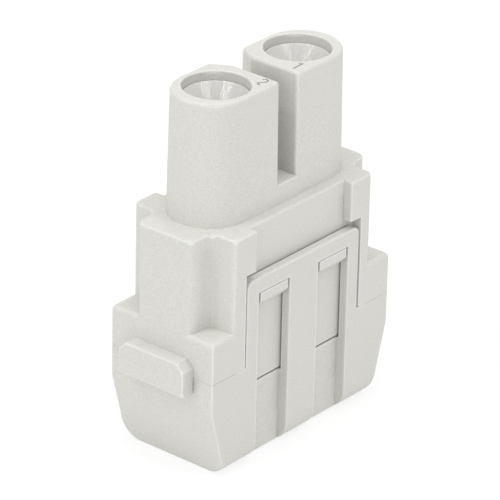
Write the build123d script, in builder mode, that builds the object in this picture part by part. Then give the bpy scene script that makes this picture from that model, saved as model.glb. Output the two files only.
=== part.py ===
from build123d import *
import os
from math import radians, sin, tan

os.makedirs("parts", exist_ok=True)

# Female power insert for a modular connector frame. Millimetres.
# X runs along the wide faces, Y across them, Z up from the standing face, origin under the middle.

# Outline that the two mouldings share
body_length = 31.0
body_width = 14.8
corner_round = 0.3
seam_round = 0.08

# Stages, one above the other
housing_height = 12.45
base_height = 4.95
block_height = 11.3
tower_height = 14.75

# Shoulder block: notches in its corners leave end tabs between four columns
notch_length = 3.52
notch_width = 3.36
narrow_tab_setback = 0.4
tab_round = 1.35
column_round = 0.8
flute_round = 1.2
ledge_round = 0.5
shoulder_round = 0.25

# Wide faces: flat panel set back between the columns
panel_width = 16.4
panel_corner_round = 0.3

# Snap tongues of the housing, standing in front of the panels
tongue_width = 19.52
tongue_height = 10.4
tongue_thickness = 1.0
tongue_back_gap = 0.2
tongue_round = 1.0
tongue_lip_round = 0.15
tongue_side_gap = 0.24
tongue_head_gap = 1.0

# Windows through the tongues, running down as blind grooves
window_pitch = 10.3
window_width = 5.35
window_margin = 1.9
groove_bed = 0.25

# Snap noses of the carrier that stand in the windows
nose_side_play = 0.35
nose_face_height = 1.15
nose_ramp_height = 1.25
nose_round = 0.35
nose_head_play = 0.06

# Skirt of the carrier inside the housing
skirt_depth = 3.05
skirt_floor_gap = 0.3
skirt_end_wall = 1.3
skirt_side_play = 0.1
skirt_corner_round = 0.8

# Fixing lugs on the two ends; the narrower one keys the insert in its frame
lug_reach = 1.85
lug_top_rise = 2.15
lug_height = 3.95
lug_corner = 0.95
lug_edge_round = 0.15
lug_hang_gap = 0.1
wide_lug_width = 9.36
narrow_lug_width = 6.8

# Tapered ends and foot of the housing
taper_start = 8.7
taper_inset = 2.4
foot_round = 2.4

# Towers, walled round the mouths of the poles
tower_wall = 0.93
tower_end_wall = 1.7
tower_draft = 0.9
tower_gap = 3.06
gap_floor_rise = 2.4
tower_rim_round = 0.43
gap_corner_extra = 0.07
back_corner_x = 1.45
back_corner_y = 2.35

# Poles: bores of the carrier from the mouth down
pole_pitch = 13.9
mouth_radius = 3.85
mouth_depth = 1.12
mouth_round = 0.15
shank_play = 0.1
chamber_play = 0.4

# Funnel guards
guard_height = 5.35
guard_play = 0.05
guard_lip = 0.12
guard_wall = 0.5
guard_web = 0.6
funnel_angle = 45.0
throat_play = 0.1

# Socket contacts
contact_radius = 4.05
barrel_length = 13.2
shank_radius = 3.4
shank_length = 3.0
socket_radius = 2.9
socket_bore_radius = 1.95
socket_mouth_gap = 0.39
mouth_chamfer = 0.3
slot_count = 4
slot_width = 0.5
slot_length = 8.9
wire_bore_radius = 3.1
wire_bore_depth = 9.6
wire_bore_chamfer = 0.4
thread_bore_length = 8.0

# Split spring sleeves round the socket fingers
spring_wall = 0.3
spring_length = 5.6
spring_setback = 1.1
spring_seat_depth = 0.15
spring_play = 0.03
spring_slit = 0.6
spring_slit_angle = 45.0

# Snap rings between the contact barrel and the step of the carrier
ring_thickness = 0.8
ring_side_play = 0.15
ring_groove_depth = 0.3
ring_play = 0.05
ring_opening = 60.0

# Axial clamping cones, shown backed off for the wire
cone_thread_radius = 2.45
cone_thread_play = 0.05
cone_thread_length = 4.0
cone_length = 3.8
cone_tip_radius = 0.6
key_size = 2.5
key_depth = 2.4
cone_end_play = 0.1

# Cable entries and contact seats in the floor of the housing
entry_radius = 4.6
entry_depth = 6.5
entry_chamfer = 0.5
seat_shoulder = 0.35
seat_ring_play = 0.25
seat_ring_height = 1.15

# Selections: how close to its place a chosen edge or corner lies; cutters: how far they run past
near = 0.01
overrun = 1.0

# Radii of the poles, each fitted to the piece that it takes
barrel_bore_radius = shank_radius + shank_play
chamber_radius = contact_radius + chamber_play
ring_radius = chamber_radius - ring_side_play
groove_radius = shank_radius - ring_groove_depth
guard_radius = mouth_radius - guard_play
guard_inner_radius = guard_radius - guard_wall
throat_radius = socket_bore_radius + throat_play
thread_bore_radius = cone_thread_radius + cone_thread_play
spring_seat_radius = socket_radius - spring_seat_depth
seat_bore_radius = contact_radius - seat_shoulder
seat_ring_radius = chamber_radius - seat_ring_play

# Levels worked out from the sizes above
seam_z = housing_height
ledge_z = seam_z + base_height
shoulder_z = ledge_z + block_height
top_z = shoulder_z + tower_height
tongue_top_z = seam_z + tongue_height
window_top_z = tongue_top_z - window_margin
recess_top_z = tongue_top_z + tongue_head_gap
nose_top_z = window_top_z - nose_head_play
skirt_bottom_z = seam_z - skirt_depth
cavity_floor_z = skirt_bottom_z - skirt_floor_gap
contact_rear_z = cavity_floor_z + seat_ring_height
ring_bottom_z = contact_rear_z + barrel_length + ring_play
step_z = ring_bottom_z + ring_thickness
guard_top_z = top_z - mouth_depth
guard_seat_z = guard_top_z - guard_height
funnel_slope = tan(radians(funnel_angle))
throat_z = guard_top_z - (guard_radius - guard_lip - throat_radius) * funnel_slope
socket_front_z = throat_z - guard_web - socket_mouth_gap
shank_top_z = step_z + shank_length
thread_bottom_z = contact_rear_z + wire_bore_depth + wire_bore_radius - thread_bore_radius
thread_top_z = thread_bottom_z + thread_bore_length
spring_top_z = socket_front_z - spring_setback
spring_bottom_z = spring_top_z - spring_length
gap_floor_z = shoulder_z + gap_floor_rise
lug_top_z = seam_z + lug_top_rise
lug_bottom_z = lug_top_z - lug_height

# Widths and depths that several features share
half_length = body_length / 2
half_width = body_width / 2
tab_width = body_width - 2 * notch_width
column_span = body_length - 2 * notch_length
gap_corner_round = tower_rim_round + gap_corner_extra
tower_length = pole_pitch + 2 * (mouth_radius + tower_end_wall)
tower_width = 2 * (mouth_radius + tower_wall)
panel_depth = tongue_thickness + tongue_back_gap
groove_depth = tongue_thickness + groove_bed
nose_width = window_width - 2 * nose_side_play
panel_y = half_width - panel_depth
tongue_back_y = half_width - tongue_thickness
recess_width = tongue_width + 2 * tongue_side_gap
skirt_length = body_length - 2 * skirt_end_wall - 2 * skirt_side_play
cavity_length = body_length - 2 * skirt_end_wall

poles = {1: pole_pitch / 2, 2: -pole_pitch / 2}
sides = {"front": -1, "back": 1}


# Contact carrier
with BuildPart() as carrier:
    # rectangular base with rounded ledges
    with BuildSketch(Plane.XY.offset(seam_z)):
        RectangleRounded(body_length, body_width, corner_round)
    extrude(amount=base_height)
    fillet(carrier.faces().sort_by(Axis.Z)[-1].edges(), ledge_round)
    fillet(carrier.faces().sort_by(Axis.Z)[0].edges(), seam_round)

    # shoulder block, let into the rounded ledges so that its tabs and columns stay flush with the base
    with BuildSketch(Plane.XY.offset(ledge_z - ledge_round - corner_round)) as block_plan:
        with Locations((-narrow_tab_setback / 2, 0)):
            Rectangle(body_length - narrow_tab_setback, tab_width)
        Rectangle(column_span, body_width)
        tab_corners = block_plan.vertices().filter_by(lambda v: abs(v.X) > half_length - narrow_tab_setback - near)
        fillet(tab_corners, tab_round)
        column_corners = block_plan.vertices().filter_by(lambda v: abs(v.Y) > half_width - near)
        fillet(column_corners, column_round)
        flute_corners = block_plan.vertices().filter_by(
            lambda v: abs(abs(v.X) - column_span / 2) < near and abs(abs(v.Y) - tab_width / 2) < near
        )
        fillet(flute_corners, flute_round)
    extrude(amount=block_height + ledge_round + corner_round)

    # flat panels between the columns, and the wider recesses that take the tongues
    for side in sides.values():
        with BuildSketch(Plane.XY.offset(seam_z)):
            with Locations((0, side * half_width)):
                Rectangle(panel_width, 2 * panel_depth)
        extrude(amount=shoulder_z - seam_z, mode=Mode.SUBTRACT)
        with BuildSketch(Plane.XY.offset(seam_z)):
            with Locations((0, side * half_width)):
                Rectangle(recess_width, 2 * panel_depth)
        extrude(amount=recess_top_z - seam_z, mode=Mode.SUBTRACT)

    panel_corners = carrier.edges().filter_by(Axis.Z).filter_by(
        lambda edge: abs(abs(edge.center().X) - panel_width / 2) < near
        and abs(abs(edge.center().Y) - half_width) < near
    )
    fillet(panel_corners, panel_corner_round)
    fillet(carrier.faces().sort_by(Axis.Z)[-1].edges(), shoulder_round)

    # skirt that reaches down inside the housing
    with BuildSketch(Plane.XY.offset(skirt_bottom_z)):
        RectangleRounded(skirt_length, 2 * panel_y, skirt_corner_round)
    extrude(amount=skirt_depth + corner_round)

    # snap noses: flat catch on top, rounded face, ramp below
    for side in sides.values():
        for nose_x in (-window_pitch / 2, window_pitch / 2):
            with BuildSketch(Plane.YZ.offset(nose_x - nose_width / 2)) as nose_profile:
                with BuildLine():
                    Polyline(
                        (side * (panel_y - nose_round), nose_top_z),
                        (side * half_width, nose_top_z),
                        (side * half_width, nose_top_z - nose_face_height),
                        (side * panel_y, nose_top_z - nose_face_height - nose_ramp_height),
                        (side * (panel_y - nose_round), nose_top_z - nose_face_height - nose_ramp_height),
                        close=True,
                    )
                make_face()
                nose_edge = nose_profile.vertices().filter_by(
                    lambda v: abs(abs(v.X) - half_width) < near and v.Y < nose_top_z - near
                )
                fillet(nose_edge, nose_round)
            extrude(amount=nose_width)

    # towers: one drafted block, split by the gap
    with BuildSketch(Plane.XY.offset(shoulder_z)):
        SlotOverall(tower_length, tower_width)
    extrude(amount=tower_height, taper=tower_draft)
    top_half_width = tower_width / 2 - tower_height * tan(radians(tower_draft))
    with BuildSketch(Plane.XY.offset(gap_floor_z)):
        Rectangle(tower_gap, 2 * tower_width)
        with BuildLine():
            Polyline(
                (-tower_gap / 2 - back_corner_x, top_half_width),
                (-tower_gap / 2, top_half_width - back_corner_y),
                (tower_gap / 2, top_half_width - back_corner_y),
                (tower_gap / 2 + back_corner_x, top_half_width),
                (tower_gap / 2 + back_corner_x, tower_width),
                (-tower_gap / 2 - back_corner_x, tower_width),
                close=True,
            )
        make_face()
    extrude(amount=tower_height, mode=Mode.SUBTRACT)
    gap_corners = carrier.edges().filter_by(
        lambda edge: edge.bounding_box().size.Z > tower_height / 2
        and abs(edge.center().X) < tower_gap / 2 + near
        and edge.center().Y < 0
    )
    fillet(gap_corners, gap_corner_round)
    rims = carrier.faces().filter_by(Axis.Z).group_by(Axis.Z)[-1].edges()
    fillet(rims, tower_rim_round)

    # fixing lugs, hanging over the seam with a gap behind them
    for end, width in ((-1, wide_lug_width), (1, narrow_lug_width)):
        with BuildPart(mode=Mode.PRIVATE) as lug:
            with BuildSketch(Plane.YZ.offset(end * (half_length + lug_reach))) as lug_face:
                with Locations((0, (lug_top_z + lug_bottom_z) / 2)):
                    Rectangle(width, lug_height)
                chamfer(lug_face.vertices().filter_by(lambda v: v.Y > lug_top_z - near), lug_corner)
            extrude(amount=-end * (lug_reach + skirt_end_wall / 2))
            outer_face = lug.faces().sort_by(Axis.X)[-1 if end > 0 else 0]
            fillet(outer_face.edges(), lug_edge_round)
            with BuildSketch(Plane.XY.offset(lug_bottom_z - overrun)):
                Rectangle(body_length + 2 * lug_hang_gap, body_width)
            extrude(amount=seam_z - lug_bottom_z + overrun, mode=Mode.SUBTRACT)
        add(lug.part)

    # bores of the two poles
    for pole_x in poles.values():
        for start_z, end_z, radius in (
            (guard_seat_z, top_z, mouth_radius),
            (step_z, guard_seat_z, barrel_bore_radius),
            (skirt_bottom_z, step_z, chamber_radius),
        ):
            with BuildSketch(Plane.XY.offset(start_z)):
                with Locations((pole_x, 0)):
                    Circle(radius)
            extrude(amount=end_z - start_z, mode=Mode.SUBTRACT)
    mouth_edges = carrier.edges().filter_by(GeomType.CIRCLE).filter_by(
        lambda edge: abs(edge.radius - mouth_radius) < near and edge.center().Z > top_z - near
    )
    fillet(mouth_edges, mouth_round)
carrier.part.label = "contact_carrier"
export_step(carrier.part, "parts/contact_carrier.step")


# Cable housing
with BuildPart() as housing:
    # body with tapered ends
    with BuildSketch(Plane.XZ.offset(-half_width)):
        with BuildLine():
            Polyline(
                (half_length, seam_z),
                (half_length, taper_start),
                (half_length - taper_inset, 0),
                (-half_length + taper_inset, 0),
                (-half_length, taper_start),
                (-half_length, seam_z),
                close=True,
            )
        make_face()
    extrude(amount=body_width)
    foot_edges = housing.edges().filter_by(Axis.X).filter_by(lambda edge: edge.center().Z < near)
    fillet(foot_edges, foot_round)
    corner_edges = housing.edges().filter_by(
        lambda edge: abs(edge.center().X) > half_length - taper_inset - near
        and edge.center().Z < seam_z - near
        and (abs(edge.center().Y) > near or edge.center().Z < near)
    )
    fillet(corner_edges, corner_round)
    fillet(housing.faces().sort_by(Axis.Z)[-1].edges(), seam_round)

    # snap tongues on the two wide faces
    for side in sides.values():
        with BuildPart(mode=Mode.PRIVATE) as tongue:
            with BuildSketch(Plane.XZ.offset(-side * half_width)) as tongue_outline:
                with Locations((0, (tongue_top_z + cavity_floor_z) / 2)):
                    Rectangle(tongue_width, tongue_top_z - cavity_floor_z)
                fillet(tongue_outline.vertices().filter_by(lambda v: v.Y > tongue_top_z - near), tongue_round)
            extrude(amount=side * tongue_thickness)
            front = tongue.faces().sort_by(Axis.Y)[-1 if side > 0 else 0]
            lip = front.edges().filter_by(lambda edge: edge.bounding_box().max.Z > tongue_top_z - tongue_round)
            fillet(lip, tongue_lip_round)
        add(tongue.part)

    # cavity that takes the skirt of the carrier
    with BuildSketch(Plane.XY.offset(cavity_floor_z)):
        RectangleRounded(cavity_length, 2 * tongue_back_y, skirt_corner_round)
    extrude(amount=seam_z - cavity_floor_z, mode=Mode.SUBTRACT)

    # windows through the tongues, and the grooves below them
    for side in sides.values():
        for window_x in (-window_pitch / 2, window_pitch / 2):
            with BuildSketch(Plane.XY):
                with Locations((window_x, side * half_width)):
                    Rectangle(window_width, 2 * groove_depth)
            extrude(amount=window_top_z, mode=Mode.SUBTRACT)

    # contact seats and cable entries
    for pole_x in poles.values():
        with BuildSketch(Plane.XY.offset(cavity_floor_z)):
            with Locations((pole_x, 0)):
                Circle(seat_ring_radius)
        extrude(amount=seat_ring_height)
        with BuildSketch(Plane.XY):
            with Locations((pole_x, 0)):
                Circle(seat_bore_radius)
        extrude(amount=contact_rear_z, mode=Mode.SUBTRACT)
        with BuildSketch(Plane.XY):
            with Locations((pole_x, 0)):
                Circle(entry_radius)
        extrude(amount=entry_depth, mode=Mode.SUBTRACT)
    entry_edges = housing.edges().filter_by(GeomType.CIRCLE).filter_by(lambda edge: edge.center().Z < near)
    chamfer(entry_edges, entry_chamfer)
housing.part.label = "cable_housing"
export_step(housing.part, "parts/cable_housing.step")


for number, pole_x in poles.items():
    pole_axis = Axis((pole_x, 0, 0), (0, 0, 1))
    pole_plane = Plane((pole_x, 0, 0), x_dir=(1, 0, 0), z_dir=(0, -1, 0))

    # Funnel guard: sleeve with a conical throat
    with BuildPart() as guard:
        with BuildSketch(pole_plane):
            with BuildLine():
                Polyline(
                    (guard_inner_radius, guard_seat_z),
                    (guard_radius, guard_seat_z),
                    (guard_radius, guard_top_z),
                    (guard_radius - guard_lip, guard_top_z),
                    (throat_radius, throat_z),
                    (throat_radius, throat_z - guard_web),
                    (guard_inner_radius, throat_z - guard_web + (guard_inner_radius - throat_radius) * funnel_slope),
                    close=True,
                )
            make_face()
        revolve(axis=pole_axis)
    guard.part.label = f"funnel_guard_{number}"
    export_step(guard.part, f"parts/funnel_guard_{number}.step")

    # Socket contact: slotted socket, shank with ring groove, barrel with wire chamber
    with BuildPart() as contact:
        with BuildSketch(pole_plane):
            with BuildLine():
                Polyline(
                    (wire_bore_radius + wire_bore_chamfer, contact_rear_z),
                    (contact_radius, contact_rear_z),
                    (contact_radius, ring_bottom_z - ring_play),
                    (groove_radius, ring_bottom_z - ring_play),
                    (groove_radius, step_z + ring_play),
                    (shank_radius, step_z + ring_play),
                    (shank_radius, shank_top_z),
                    (socket_radius, shank_top_z + shank_radius - socket_radius),
                    (socket_radius, spring_bottom_z - ring_play),
                    (spring_seat_radius, spring_bottom_z - ring_play),
                    (spring_seat_radius, spring_top_z + ring_play),
                    (socket_radius, spring_top_z + ring_play),
                    (socket_radius, socket_front_z),
                    (socket_bore_radius + mouth_chamfer, socket_front_z),
                    (socket_bore_radius, socket_front_z - mouth_chamfer),
                    (socket_bore_radius, thread_top_z + thread_bore_radius - socket_bore_radius),
                    (thread_bore_radius, thread_top_z),
                    (thread_bore_radius, thread_bottom_z),
                    (wire_bore_radius, thread_bottom_z - wire_bore_radius + thread_bore_radius),
                    (wire_bore_radius, contact_rear_z + wire_bore_chamfer),
                    close=True,
                )
            make_face()
        revolve(axis=pole_axis)
        with BuildSketch(Plane.XY.offset(socket_front_z - slot_length)):
            with Locations((pole_x, 0)):
                with PolarLocations(socket_radius / 2 + slot_width, slot_count):
                    Rectangle(socket_radius + 2 * slot_width, slot_width)
        extrude(amount=slot_length, mode=Mode.SUBTRACT)
    contact.part.label = f"socket_contact_{number}"
    export_step(contact.part, f"parts/socket_contact_{number}.step")

    # Contact spring: split sleeve round the socket fingers
    with BuildPart() as spring:
        with BuildSketch(Plane.XY.offset(spring_bottom_z)):
            with Locations((pole_x, 0)):
                Circle(spring_seat_radius + spring_play + spring_wall)
                Circle(spring_seat_radius + spring_play, mode=Mode.SUBTRACT)
            with Locations((pole_x, spring_seat_radius)):
                Rectangle(
                    spring_slit,
                    2 * (spring_wall + spring_slit),
                    rotation=spring_slit_angle,
                    mode=Mode.SUBTRACT,
                )
        extrude(amount=spring_length)
    spring.part.label = f"contact_spring_{number}"
    export_step(spring.part, f"parts/contact_spring_{number}.step")

    # Snap ring: flat open ring in the contact's groove, under the step of the carrier
    with BuildPart() as ring:
        with BuildSketch(Plane.XY.offset(ring_bottom_z)):
            with Locations((pole_x, 0)):
                Circle(ring_radius)
                Circle(groove_radius + ring_play, mode=Mode.SUBTRACT)
            with BuildLine():
                reach = 2 * ring_radius
                opening_half = reach * sin(radians(ring_opening / 2))
                Polyline(
                    (pole_x, 0),
                    (pole_x + opening_half, -reach),
                    (pole_x - opening_half, -reach),
                    close=True,
                )
            make_face(mode=Mode.SUBTRACT)
        extrude(amount=ring_thickness)
    ring.part.label = f"snap_ring_{number}"
    export_step(ring.part, f"parts/snap_ring_{number}.step")

    # Clamping cone: threaded body with a hexagon socket, cone towards the wire
    cone_top_z = thread_top_z - cone_end_play
    cone_shoulder_z = cone_top_z - cone_thread_length
    with BuildPart() as clamp_cone:
        with BuildSketch(pole_plane):
            with BuildLine():
                Polyline(
                    (0, cone_top_z),
                    (cone_thread_radius, cone_top_z),
                    (cone_thread_radius, cone_shoulder_z),
                    (cone_tip_radius, cone_shoulder_z - cone_length),
                    (0, cone_shoulder_z - cone_length),
                    close=True,
                )
            make_face()
        revolve(axis=pole_axis)
        with BuildSketch(Plane.XY.offset(cone_top_z)):
            with Locations((pole_x, 0)):
                RegularPolygon(key_size / 2, 6, major_radius=False)
        extrude(amount=-key_depth, mode=Mode.SUBTRACT)
    clamp_cone.part.label = f"clamp_cone_{number}"
    export_step(clamp_cone.part, f"parts/clamp_cone_{number}.step")
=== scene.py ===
"""Looks of a two pole power connector insert: pale moulded plastics, plated contacts, printed pole numbers."""
import math

import bpy
import numpy as np
from mathutils import Matrix, Vector


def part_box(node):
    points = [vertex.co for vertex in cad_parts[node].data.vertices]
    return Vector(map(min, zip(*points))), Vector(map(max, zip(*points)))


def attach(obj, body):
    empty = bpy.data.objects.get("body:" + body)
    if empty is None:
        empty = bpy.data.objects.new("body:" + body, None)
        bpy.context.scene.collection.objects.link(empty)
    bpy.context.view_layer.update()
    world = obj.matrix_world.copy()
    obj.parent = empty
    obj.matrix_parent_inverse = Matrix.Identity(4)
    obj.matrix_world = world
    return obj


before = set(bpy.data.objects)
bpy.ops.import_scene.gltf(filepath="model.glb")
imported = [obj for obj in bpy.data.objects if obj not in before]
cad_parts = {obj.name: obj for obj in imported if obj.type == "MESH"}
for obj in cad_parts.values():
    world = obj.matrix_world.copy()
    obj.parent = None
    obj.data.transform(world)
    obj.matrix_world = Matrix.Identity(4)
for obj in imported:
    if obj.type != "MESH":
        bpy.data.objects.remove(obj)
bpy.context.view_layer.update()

MM = 0.001
scene = bpy.context.scene
scene.view_settings.view_transform = "Standard"


def tint(red, green, blue):
    """Linear colour of a tone read as 0 to 255."""
    return tuple(((v / 255 + 0.055) / 1.055) ** 2.4 for v in (red, green, blue)) + (1.0,)


# Tones of the plastics and of the ink, of the painted highlight on edges and corners, and of the painted shade
# in slits
CARRIER_TONE = tint(217, 216, 211)
HOUSING_TONE = tint(216, 215, 210)
GUARD_TONE = tint(208, 207, 203)
EDGE_HIGHLIGHT_TONE = (0.95, 0.945, 0.93, 1.0)
SLIT_SHADE_TONE = tint(70, 68, 65)
INK_TONE = tint(106, 105, 104)
THIN_INK_TONE = tint(140, 139, 137)

# Roughness, grain size in mm, mottle, relief and painted edge highlight of the moulded skins; the body has a
# painted corner highlight too
BODY_SKIN = {"Roughness": 0.55, "Grain size": 0.2, "Mottle": 0.17, "Relief": 0.5, "Edge light": 0.4,
             "Corner light": 0.65}
GUARD_SKIN = {"Roughness": 0.15, "Grain size": 0.12, "Mottle": 0.16, "Relief": 0.8, "Edge light": 0.1}
# Height and number of the guards' flow marks, and how fast they change down the slope
FLOW_DEPTH = 4.0
FLOW_COUNT = 13.0
FLOW_DOWN = 0.9 / MM

# Turned metals: finish, tone, tarnish tone, amount of tarnish, pitch of the rings in mm, roughness and relief
METALS = {
    "socket_contact": ("silver_plate", tint(226, 224, 218), tint(168, 158, 138), 0.35, 0.12, 0.24, 0.35),
    "contact_spring": ("spring_steel", tint(176, 178, 182), tint(120, 120, 124), 0.3, 0.05, 0.3, 0.3),
    "snap_ring": ("ring_steel", tint(150, 152, 156), tint(96, 92, 88), 0.4, 0.07, 0.36, 0.4),
    "clamp_cone": ("cone_brass", tint(214, 184, 118), tint(150, 112, 60), 0.4, 0.1, 0.26, 0.4),
}
# Turned metal: pitch of the hair scratches and their limits in roughness, size and limits of the tarnish
# clouds, height of the rings against the scratches, depth of both, and how much rougher full tarnish is
HAIR_PITCH = 0.03 * MM
HAIR_ROUGHNESS = (-0.05, 0.05)
CLOUD_SIZE = 1.8 * MM
CLOUD_SPAN = (0.42, 0.68)
RING_SHARE = 0.35
TURNED_DEPTH = 0.006 * MM
TARNISH_ROUGHNESS = 0.35

# Moulded skin: size of the slow drift and its limits in shade and roughness, depth of the grain, how much
# smoother an edge under its painted highlight is, and how the plastic bends light
DRIFT_SIZE = 7 * MM
DRIFT_SHADE = (0.99, 1.01)
DRIFT_ROUGHNESS = (-0.05, 0.05)
GRAIN_DEPTH = 0.012 * MM
EDGE_SMOOTHING = 0.2
PLASTIC_IOR = 1.5
# Directions tried round a place for room, and for a rounded normal
ROOM_RAYS = 8
ROUNDING_RAYS = 4
# How far round a place the skin looks for its soft edges, painted highlights on edges and corners, slits,
# hollows and recesses
SOFT_EDGE = 0.08 * MM
EDGE_REACH = 0.3 * MM
CORNER_REACH = 0.5 * MM
SLIT_REACH = 0.3 * MM
HOLLOW_REACH = 6 * MM
RECESS_REACH = 3 * MM
# Shares of open or solid room round a place between which each light or shade comes or goes
EDGE_SPAN = (0.95, 0.72)
CLEAR_SPAN = (0.7, 0.95)
BULK_SPAN = (0.95, 0.88)
SLIT_SPAN = (0.38, 0.1)
HOLLOW_SPAN = (0.36, 0.56)
RECESS_SPAN = (0.6, 0.95)
# The same by the way that a face looks: up or down, between two sides, and to a wide side
UNDER_SPAN = (-0.4, -0.1)
BETWEEN_SPAN = (0.41, 0.49)
WIDE_FACING = 0.7
# Share of the painted slit shade in a slit, light left in the deepest hollow, and light lost in a full recess
SLIT_SHADE_SHARE = 0.8
HOLLOW_LEFT = 0.82
RECESS_LOST = 0.1
# Line where carrier and housing part: its level, its two ends out from the middle, and how near it the painted
# edge highlight fades
PARTING_LEVEL = 12.45 * MM
PARTING_START = 11.3 * MM
PARTING_END = 15.6 * MM
PARTING_SPAN = (0.25 * MM, 0.6 * MM)
# Hollows are shaded above the gap's floor, recesses between the foot and the shoulder
GAP_LEVEL = 31 * MM
FOOT_LEVEL = 4 * MM
SHOULDER_LEVEL = 27 * MM

# Places of the contacts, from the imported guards
POLE_AXES = {}
for pole in ("1", "2"):
    low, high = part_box(f"funnel_guard_{pole}")
    POLE_AXES[pole] = ((low.x + high.x) / 2, (low.y + high.y) / 2)


# Shader helpers

def add_node(tree, kind, sockets=None, **settings):
    """A node of that kind, with its settings, and its sockets set to a value or linked from another socket."""
    node = tree.nodes.new("ShaderNode" + kind)
    for name, value in settings.items():
        setattr(node, name, value)
    for name, value in (sockets or {}).items():
        if isinstance(value, bpy.types.NodeSocket):
            tree.links.new(value, node.inputs[name])
        else:
            node.inputs[name].default_value = value
    return node


def math_node(tree, operation, *values, clamp=False):
    """The result socket of a Math node on those values."""
    return add_node(tree, "Math", dict(enumerate(values)), operation=operation, use_clamp=clamp).outputs[0]


def product(tree, *values):
    """Those values multiplied one after the other."""
    result = values[0]
    for value in values[1:]:
        result = math_node(tree, "MULTIPLY", result, value)
    return result


def left_of_one(tree, value):
    """What is left of 1 once the value is taken off."""
    return math_node(tree, "SUBTRACT", 1.0, value)


def vector_node(tree, operation, **sockets):
    """The result socket of a Vector Math node on the vectors a and b, or on a and a scale."""
    names = {"a": 0, "b": 1, "scale": "Scale"}
    values = {names[label]: value for label, value in sockets.items()}
    return add_node(tree, "VectorMath", values, operation=operation).outputs[0]


def mix_colour(tree, factor, first, second):
    """The first colour turned into the second by that factor."""
    return add_node(tree, "Mix", {0: factor, 6: first, 7: second}, data_type="RGBA").outputs[2]


def ramp(tree, value, span, low=0.0, high=1.0, shape="LINEAR"):
    """A value spread so that the two ends of its span become low and high."""
    sockets = {"Value": value, "From Min": span[0], "From Max": span[1], "To Min": low, "To Max": high}
    return add_node(tree, "MapRange", sockets, interpolation_type=shape).outputs["Result"]


def remap(tree, value, low, high):
    """A value of 0 to 1 spread between low and high."""
    return ramp(tree, value, (0.0, 1.0), low, high)


def noise(tree, sockets, **settings):
    """The value of a noise texture."""
    return add_node(tree, "TexNoise", sockets, **settings).outputs["Fac"]


def room(tree, reach, **settings):
    """Share of the directions out from a place, or into the solid, in which nothing stands within that reach."""
    return add_node(tree, "AmbientOcclusion", {"Distance": reach}, samples=ROOM_RAYS, **settings).outputs["AO"]


def effect_group(name, inputs, outputs):
    """An empty shader group with those sockets, given as name: (kind, value), and its in and out nodes."""
    group = bpy.data.node_groups.new(name, "ShaderNodeTree")
    for label, (kind, value) in inputs.items():
        socket = group.interface.new_socket(label, in_out="INPUT", socket_type="NodeSocket" + kind)
        socket.default_value = value
    for label, kind in outputs.items():
        group.interface.new_socket(label, in_out="OUTPUT", socket_type="NodeSocket" + kind)
    return group, group.nodes.new("NodeGroupInput").outputs, group.nodes.new("NodeGroupOutput").inputs


def use_group(tree, group, sockets):
    """The outputs of that group placed in a material, with its own values."""
    return add_node(tree, "Group", sockets, node_tree=group).outputs


# Moulded skin

def off_parting(tree, spot):
    """0 close to the line where carrier and housing part beside the tongues, and 1 elsewhere."""
    rise = math_node(tree, "ABSOLUTE", math_node(tree, "SUBTRACT", spot["Z"], PARTING_LEVEL))
    aside = math_node(tree, "ABSOLUTE", spot["X"])
    on_line = product(tree, math_node(tree, "LESS_THAN", aside, PARTING_END),
                      math_node(tree, "GREATER_THAN", aside, PARTING_START))
    return left_of_one(tree, product(tree, on_line, left_of_one(tree, ramp(tree, rise, PARTING_SPAN))))


def off_underside(tree):
    """0 on faces that look down and 1 on the others, by a rounded normal that joins the faces of an edge."""
    rounded = add_node(tree, "Bevel", {"Radius": EDGE_REACH}, samples=ROUNDING_RAYS).outputs["Normal"]
    rounded = add_node(tree, "VectorTransform", {"Vector": rounded}, vector_type="NORMAL",
                       convert_from="WORLD", convert_to="OBJECT").outputs[0]
    return ramp(tree, add_node(tree, "SeparateXYZ", {0: rounded}).outputs["Z"], UNDER_SPAN)


def painted_edge_highlight(tree, spot, open_air):
    """Painted highlight on outer edges, where the solid has little room, except on slits, on the parting line
    and underneath.
    """
    edge = ramp(tree, room(tree, EDGE_REACH, inside=True, only_local=True), EDGE_SPAN, shape="SMOOTHSTEP")
    clear = product(tree, ramp(tree, open_air, CLEAR_SPAN), off_parting(tree, spot), off_underside(tree))
    return product(tree, edge, clear)


def painted_corner_highlight(tree, facing):
    """Painted highlight on rounded upright corners: faces that look between two sides, where the solid has
    little room.
    """
    between = math_node(tree, "ABSOLUTE", product(tree, facing["X"], facing["Y"]))
    bulk = room(tree, CORNER_REACH, inside=True, only_local=True)
    return product(tree, ramp(tree, between, BETWEEN_SPAN), ramp(tree, bulk, BULK_SPAN))


def hollow_light(tree, spot):
    """Light left in the gap between the towers and in their mouths."""
    light = ramp(tree, room(tree, HOLLOW_REACH, only_local=True), HOLLOW_SPAN, HOLLOW_LEFT, shape="SMOOTHSTEP")
    return math_node(tree, "MAXIMUM", light, math_node(tree, "LESS_THAN", spot["Z"], GAP_LEVEL))


def recess_light(tree, spot, facing):
    """Light left in the shallow recesses of the wide sides."""
    lost = ramp(tree, room(tree, RECESS_REACH), RECESS_SPAN, RECESS_LOST, 0.0)
    wide_side = math_node(tree, "GREATER_THAN", math_node(tree, "ABSOLUTE", facing["Y"]), WIDE_FACING)
    on_panel = product(tree, math_node(tree, "GREATER_THAN", spot["Z"], FOOT_LEVEL),
                       math_node(tree, "LESS_THAN", spot["Z"], SHOULDER_LEVEL))
    return left_of_one(tree, product(tree, lost, wide_side, on_panel))


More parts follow.
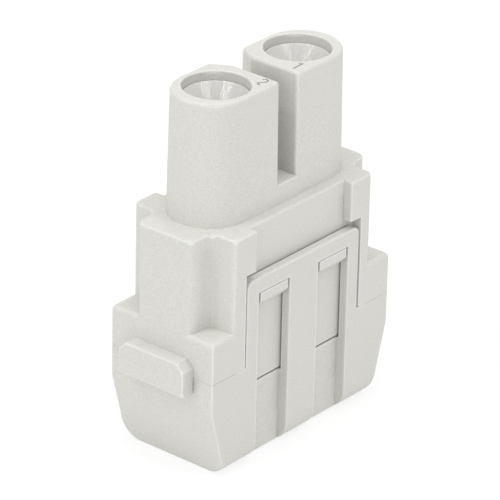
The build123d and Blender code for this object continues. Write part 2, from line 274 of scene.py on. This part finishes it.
def moulded_skin_group():
    """Spark eroded mould texture: fine grain, soft mottling, slow shade drift, smoother outer edges and corners
    with a painted highlight, painted shade in hollows and recesses, and painted shade in the slits between
    pieces. Flow marks are a height from another group."""
    group, given, out = effect_group(
        "moulded_skin",
        {"Colour": ("Color", (0.8, 0.8, 0.8, 1.0)), "Grain size": ("Float", 0.2), "Mottle": ("Float", 0.05),
         "Roughness": ("Float", 0.5), "Relief": ("Float", 0.5), "Edge light": ("Float", 0.3),
         "Corner light": ("Float", 0.0), "Flow marks": ("Float", 0.0)},
        {"Colour": "Color", "Roughness": "Float", "Normal": "Vector"},
    )
    place = add_node(group, "TexCoord").outputs["Object"]
    spot = add_node(group, "SeparateXYZ", {0: place}).outputs
    facing = add_node(group, "SeparateXYZ", {0: add_node(group, "TexCoord").outputs["Normal"]}).outputs
    grain_scale = math_node(group, "DIVIDE", 1.0, product(group, given["Grain size"], MM))
    grain = noise(group, {"Vector": place, "Scale": grain_scale, "Detail": 2.0, "Roughness": 0.6})
    drift = noise(group, {"Vector": place, "Scale": 1 / DRIFT_SIZE, "Detail": 1.0})
    open_air = room(group, SLIT_REACH)

    # Painted highlight on outer edges and upright corners, which are also made smoother
    edge = math_node(group, "MULTIPLY", painted_edge_highlight(group, spot, open_air), given["Edge light"], clamp=True)
    edge = math_node(group, "MAXIMUM", edge, product(group, painted_corner_highlight(group, facing), given["Corner light"]))
    # The grain's noise lies round one half, so its distance from there is doubled
    speck = product(group, math_node(group, "SUBTRACT", grain, 0.5), given["Mottle"], 2.0)
    shade = math_node(group, "ADD", speck, remap(group, drift, *DRIFT_SHADE))
    light = product(group, hollow_light(group, spot), recess_light(group, spot, facing))
    toned = vector_node(group, "SCALE", a=given["Colour"], scale=product(group, shade, light))
    # Painted shade in narrow slits between pieces, where little room is open round a place
    slit = ramp(group, open_air, SLIT_SPAN, shape="SMOOTHSTEP")
    colour = mix_colour(group, product(group, slit, SLIT_SHADE_SHARE), mix_colour(group, edge, toned, EDGE_HIGHLIGHT_TONE),
                        SLIT_SHADE_TONE)

    rough = math_node(group, "ADD", given["Roughness"], remap(group, drift, *DRIFT_ROUGHNESS))
    rough = math_node(group, "SUBTRACT", rough, product(group, edge, EDGE_SMOOTHING), clamp=True)
    relief = add_node(group, "Bump", {
        "Strength": given["Relief"], "Distance": GRAIN_DEPTH,
        "Height": math_node(group, "ADD", grain, given["Flow marks"]),
        "Normal": add_node(group, "Bevel", {"Radius": SOFT_EDGE}, samples=ROUNDING_RAYS).outputs["Normal"]})
    group.links.new(colour, out["Colour"])
    group.links.new(rough, out["Roughness"])
    group.links.new(relief.outputs["Normal"], out["Normal"])
    return group


def flow_marks_group():
    """Flow marks that run down a funnel: a height that changes fast round the axis and slowly along the
    slope."""
    group, given, out = effect_group(
        "flow_marks", {"Axis": ("Vector", (0.0, 0.0, 0.0)), "Depth": ("Float", 1.0), "Count": ("Float", 9.0)},
        {"Height": "Float"},
    )
    place = add_node(group, "TexCoord").outputs["Object"]
    centred = vector_node(group, "SUBTRACT", a=place, b=given["Axis"])
    flat = vector_node(group, "MULTIPLY", a=centred, b=(1.0, 1.0, 0.0))
    round_axis = vector_node(group, "SCALE", a=vector_node(group, "NORMALIZE", a=flat), scale=given["Count"])
    down = vector_node(group, "MULTIPLY", a=centred, b=(0.0, 0.0, FLOW_DOWN))
    marks = noise(group, {"Vector": vector_node(group, "ADD", a=round_axis, b=down), "Scale": 1.0,
                          "Detail": 3.0})
    group.links.new(product(group, marks, given["Depth"]), out["Height"])
    return group


# Turned metal

def turned_metal_group():
    """Lathe turned metal: rings along the axis, hair scratches round it, and a cloudy tarnish."""
    group, given, out = effect_group(
        "turned_metal",
        {"Axis": ("Vector", (0.0, 0.0, 0.0)), "Colour": ("Color", (0.8, 0.8, 0.8, 1.0)),
         "Tarnish colour": ("Color", (0.5, 0.5, 0.5, 1.0)), "Tarnish": ("Float", 0.3),
         "Ring pitch": ("Float", 0.12), "Roughness": ("Float", 0.3), "Relief": ("Float", 0.4)},
        {"Colour": "Color", "Roughness": "Float", "Normal": "Vector"},
    )
    place = add_node(group, "TexCoord").outputs["Object"]
    spot = add_node(group, "SeparateXYZ", {0: vector_node(group, "SUBTRACT", a=place, b=given["Axis"])}).outputs
    radius = math_node(group, "SQRT", math_node(group, "ADD", math_node(group, "POWER", spot["X"], 2.0),
                                                math_node(group, "POWER", spot["Y"], 2.0)))
    along = math_node(group, "ADD", spot["Z"], radius)
    turns = math_node(group, "DIVIDE", along, product(group, given["Ring pitch"], MM))
    ring = math_node(group, "SINE", product(group, turns, 2 * math.pi))
    hair = noise(group, {"W": math_node(group, "DIVIDE", along, HAIR_PITCH), "Scale": 1.0, "Detail": 2.0},
                 noise_dimensions="1D")
    cloud = noise(group, {"Vector": place, "Scale": 1 / CLOUD_SIZE, "Detail": 4.0})
    dull = math_node(group, "MULTIPLY", ramp(group, cloud, CLOUD_SPAN), given["Tarnish"], clamp=True)
    height = math_node(group, "ADD", product(group, ring, RING_SHARE), hair)
    relief = add_node(group, "Bump", {"Strength": given["Relief"], "Distance": TURNED_DEPTH, "Height": height})
    rough = math_node(group, "ADD", given["Roughness"], product(group, dull, TARNISH_ROUGHNESS))
    rough = math_node(group, "ADD", rough, remap(group, hair, *HAIR_ROUGHNESS), clamp=True)
    group.links.new(mix_colour(group, dull, given["Colour"], given["Tarnish colour"]), out["Colour"])
    group.links.new(rough, out["Roughness"])
    group.links.new(relief.outputs["Normal"], out["Normal"])
    return group


# Finishes of the pieces

SKIN = moulded_skin_group()
FLOW = flow_marks_group()
TURNED = turned_metal_group()


def finished(name, group, values, **plain):
    """A Principled material fed by an effect group; plain values go on the shader's own sockets."""
    material = bpy.data.materials.new(name)
    material.use_nodes = True
    tree = material.node_tree
    shader = tree.nodes["Principled BSDF"]
    made = use_group(tree, group, values)
    tree.links.new(made["Colour"], shader.inputs["Base Color"])
    tree.links.new(made["Roughness"], shader.inputs["Roughness"])
    tree.links.new(made["Normal"], shader.inputs["Normal"])
    for label, value in plain.items():
        shader.inputs[label].default_value = value
    return material


def moulded(name, tone, skin):
    """A moulded plastic."""
    return finished(name, SKIN, {"Colour": tone, **skin}, IOR=PLASTIC_IOR)


def turned(name, pole, tone, tarnish_tone, tarnish, pitch, roughness, relief):
    """A turned metal whose rings run round a pole's axis."""
    return finished(name, TURNED, {"Axis": (*POLE_AXES[pole], 0.0), "Colour": tone,
                                   "Tarnish colour": tarnish_tone, "Tarnish": tarnish, "Ring pitch": pitch,
                                   "Roughness": roughness, "Relief": relief}, Metallic=1.0)


def guard_finish(pole):
    """The guards' smoother plastic, with flow marks that run down the funnel."""
    material = moulded(f"guard_plastic_{pole}", GUARD_TONE, GUARD_SKIN)
    tree = material.node_tree
    marks = use_group(tree, FLOW, {"Axis": (*POLE_AXES[pole], 0.0), "Depth": FLOW_DEPTH, "Count": FLOW_COUNT})
    skin = next(node for node in tree.nodes if getattr(node, "node_tree", None) == SKIN)
    tree.links.new(marks["Height"], skin.inputs["Flow marks"])
    return material


finishes = {
    "contact_carrier": moulded("carrier_plastic", CARRIER_TONE, BODY_SKIN),
    "cable_housing": moulded("housing_plastic", HOUSING_TONE, BODY_SKIN),
}
for pole in POLE_AXES:
    finishes[f"funnel_guard_{pole}"] = guard_finish(pole)
    for piece, (finish, *values) in METALS.items():
        finishes[f"{piece}_{pole}"] = turned(f"{finish}_{pole}", pole, *values)
for node_name, material in finishes.items():
    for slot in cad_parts[node_name].material_slots:
        slot.material = material


# Printed pole numbers

def arc(middle, reach, start, end, count):
    """Points round middle, with that reach sideways and upwards, evenly turned from start to end degrees."""
    turn = np.radians(np.linspace(start, end, count))
    return np.stack([middle[0] + reach[0] * np.cos(turn), middle[1] + reach[1] * np.sin(turn)], axis=1)


INK_WIDTH = 0.165 * MM
INK_THICKNESS = 0.015 * MM
INK_SECTION = 9
INK_SPECK = 0.08 * MM
INK_ROUGHNESS = (0.45, 0.7)
# Middle of each number on its tower, in mm
DIGIT_PLACES = {"1": (2.95, -3.15), "2": (-2.95, -3.1)}
# Strokes in mm from that middle, to the right and up
DIGIT_STROKES = {
    "1": [np.linspace((-0.2, 0.66), (0.13, 0.7), 5), np.linspace((0.14, 0.94), (0.23, -0.9), 9)],
    "2": [np.concatenate([arc((0.06, 0.36), (0.36, 0.42), 165, -30, 16),
                          np.linspace((0.34, 0.09), (-0.17, -0.58), 9)]),
          np.linspace((-0.17, -0.58), (0.42, -0.9), 7)],
}


def ink_stroke(points, width, thickness):
    """A raised line of ink: at each point of the path a flat topped section with round shoulders, whose half
    width times cos(s) lies along the path's side and whose thickness times the fourth root of sin(s) stands up,
    for s from 0 to half a turn."""
    points = np.asarray(points, float)
    along = np.gradient(points, axis=0)
    along /= np.linalg.norm(along, axis=1, keepdims=True)
    side = np.stack([-along[:, 1], along[:, 0]], axis=1)
    turn = np.linspace(0, math.pi, INK_SECTION)
    across = width / 2 * np.cos(turn)
    rise = thickness * np.sin(turn) ** 0.25
    flat = points[:, None, :] + side[:, None, :] * across[None, :, None]
    tall = np.broadcast_to(rise[None, :, None], flat.shape[:2] + (1,))
    return np.concatenate([flat, tall], axis=2)


def grid_faces(rows, columns, first=0):
    """Four cornered faces of a grid of points laid out row by row."""
    corner = first + np.arange(rows - 1)[:, None] * columns + np.arange(columns - 1)[None, :]
    corner = corner.ravel()
    return np.stack([corner, corner + columns, corner + columns + 1, corner + 1], axis=1)


ink = bpy.data.materials.new("number_ink")
ink.use_nodes = True
ink_tree = ink.node_tree
ink_shader = ink_tree.nodes["Principled BSDF"]
speckle = noise(ink_tree, {"Vector": add_node(ink_tree, "TexCoord").outputs["Object"], "Scale": 1 / INK_SPECK,
                           "Detail": 3.0})
ink_tree.links.new(mix_colour(ink_tree, speckle, INK_TONE, THIN_INK_TONE), ink_shader.inputs["Base Color"])
ink_tree.links.new(remap(ink_tree, speckle, *INK_ROUGHNESS), ink_shader.inputs["Roughness"])

tower_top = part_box("contact_carrier")[1].z
for digit, strokes in DIGIT_STROKES.items():
    middle_x, middle_y = (MM * part for part in DIGIT_PLACES[digit])
    points, faces, first = [], [], 0
    for stroke in strokes:
        surface = ink_stroke(stroke * MM, INK_WIDTH, INK_THICKNESS)
        rows, columns = surface.shape[:2]
        faces.append(grid_faces(rows, columns, first))
        first += rows * columns
        points.append(surface.reshape(-1, 3))
    points = np.concatenate(points)
    # Numbers stand along +X and read towards -Y
    placed = np.stack([middle_x + points[:, 1], middle_y - points[:, 0], tower_top + points[:, 2]], axis=1)
    mesh = bpy.data.meshes.new(f"pole_number_{digit}")
    mesh.from_pydata(placed.tolist(), [], np.concatenate(faces).tolist())
    mesh.materials.append(ink)
    number = bpy.data.objects.new(f"pole_number_{digit}", mesh)
    scene.collection.objects.link(number)
    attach(number, "root")


# Floor and background

# Strength of the background: as light on the object, and as it is seen
WORLD_GLOW = (0.61, 1.0)
# Grey and glow of the floor in the same way; what is seen adds up to white and keeps the object's shadow
FLOOR_GREY = (0.88, 0.24)
FLOOR_GLOW = (0.05, 0.79)
FLOOR_ROUGHNESS = 0.9
FLOOR_REACH = 1.5
WHITE = (1.0, 1.0, 1.0, 1.0)


def lit_and_seen(tree, light, seen):
    """A value that is one thing as light and another where it is seen, mirrored or looked through."""
    path = add_node(tree, "LightPath").outputs
    direct = math_node(tree, "ADD", path["Is Camera Ray"], path["Is Glossy Ray"])
    direct = math_node(tree, "ADD", direct, path["Is Transmission Ray"], clamp=True)
    return remap(tree, direct, light, seen)


world = bpy.data.worlds.new("studio")
scene.world = world
world.use_nodes = True
sky = world.node_tree.nodes["Background"]
sky.inputs["Color"].default_value = WHITE
world.node_tree.links.new(lit_and_seen(world.node_tree, *WORLD_GLOW), sky.inputs["Strength"])

floor_mesh = bpy.data.meshes.new("floor")
floor_mesh.from_pydata(
    [(sx * FLOOR_REACH, sy * FLOOR_REACH, 0.0) for sx, sy in ((-1, -1), (1, -1), (1, 1), (-1, 1))], [],
    [(0, 1, 2, 3)])
floor = bpy.data.objects.new("floor", floor_mesh)
scene.collection.objects.link(floor)
floor_paint = bpy.data.materials.new("floor_paint")
floor_paint.use_nodes = True
floor_tree = floor_paint.node_tree
floor_shader = floor_tree.nodes["Principled BSDF"]
floor_shader.inputs["Roughness"].default_value = FLOOR_ROUGHNESS
floor_shader.inputs["Specular IOR Level"].default_value = 0.0
floor_shader.inputs["Emission Color"].default_value = WHITE
floor_tree.links.new(lit_and_seen(floor_tree, *FLOOR_GREY), floor_shader.inputs["Base Color"])
floor_tree.links.new(lit_and_seen(floor_tree, *FLOOR_GLOW), floor_shader.inputs["Emission Strength"])
# From below the floor is looked through
see_through = add_node(floor_tree, "MixShader", {
    0: add_node(floor_tree, "NewGeometry").outputs["Backfacing"],
    1: floor_shader.outputs[0],
    2: add_node(floor_tree, "BsdfTransparent").outputs[0],
})
floor_tree.links.new(see_through.outputs[0], floor_tree.nodes["Material Output"].inputs["Surface"])
floor_mesh.materials.append(floor_paint)


# Camera: turned round +Z from +X, looking down, and rolled a little

VIEW_TURN = math.radians(90 - 50.66)
VIEW_DOWN = math.radians(26.408)
VIEW_ROLL = math.radians(1.336)
# Width of the picture and distance of its plane, both in pixels, and the origin as the camera sees it: to its
# right, up and ahead
PICTURE = 500
FOCUS = 4156.09
ORIGIN_SEEN = Vector((-0.0973, -18.7296, 474.3784)) * MM
ahead = Vector((math.cos(VIEW_DOWN) * math.cos(VIEW_TURN), math.cos(VIEW_DOWN) * math.sin(VIEW_TURN),
                -math.sin(VIEW_DOWN)))
sideways = ahead.cross(Vector((0, 0, 1))).normalized()
upward = sideways.cross(ahead)
right = sideways * math.cos(VIEW_ROLL) + upward * math.sin(VIEW_ROLL)
upright = upward * math.cos(VIEW_ROLL) - sideways * math.sin(VIEW_ROLL)
standpoint = -(Matrix((right, upright, ahead)).transposed() @ ORIGIN_SEEN)
camera_data = bpy.data.cameras.new("camera")
camera_data.sensor_width = 36.0
camera_data.lens = FOCUS / PICTURE * camera_data.sensor_width
camera_data.clip_start = 0.01
camera = bpy.data.objects.new("camera", camera_data)
camera.matrix_world = Matrix.Translation(standpoint) @ \
    Matrix((right, upright, -ahead)).transposed().to_4x4()
scene.collection.objects.link(camera)
scene.camera = camera


# Lamps

LAMP_DISTANCE = 0.9
LAMP_AIM = Vector((0, 0, 0.022))
# Parts of each lamp's direction towards the camera, to its right and up, then its size and strength
LAMPS = {
    "overhead": (0.0, 0.0, 1.0, 0.5, 0.3),
    "front": (1.0, 0.0, 0.45, 1.0, 0.09),
    "high_left": (0.275, -0.493, 0.825, 0.08, 0.11),
    "high_right": (0.275, 0.493, 0.825, 0.08, 0.08),
    "low_left": (0.55, -0.8, 0.25, 0.5, 0.105),
    "low_right": (0.55, 0.8, 0.25, 0.5, 0.07),
}


def soft_lamp(name, direction, size, strength):
    """A square lamp out in that direction, turned towards the middle of the object. At strength 1 a white
    surface that faces it is just white."""
    data = bpy.data.lights.new(name, "AREA")
    data.size = size
    data.energy = strength * (math.pi * LAMP_DISTANCE) ** 2
    lamp = bpy.data.objects.new(name, data)
    lamp.matrix_world = Matrix.Translation(LAMP_AIM + direction.normalized() * LAMP_DISTANCE) @ \
        direction.to_track_quat("Z", "Y").to_matrix().to_4x4()
    scene.collection.objects.link(lamp)


near_side = Vector((-math.cos(VIEW_TURN), -math.sin(VIEW_TURN), 0))
for name, (near_part, right_part, up_part, size, strength) in LAMPS.items():
    soft_lamp(name, near_side * near_part + sideways * right_part + Vector((0, 0, up_part)), size, strength)
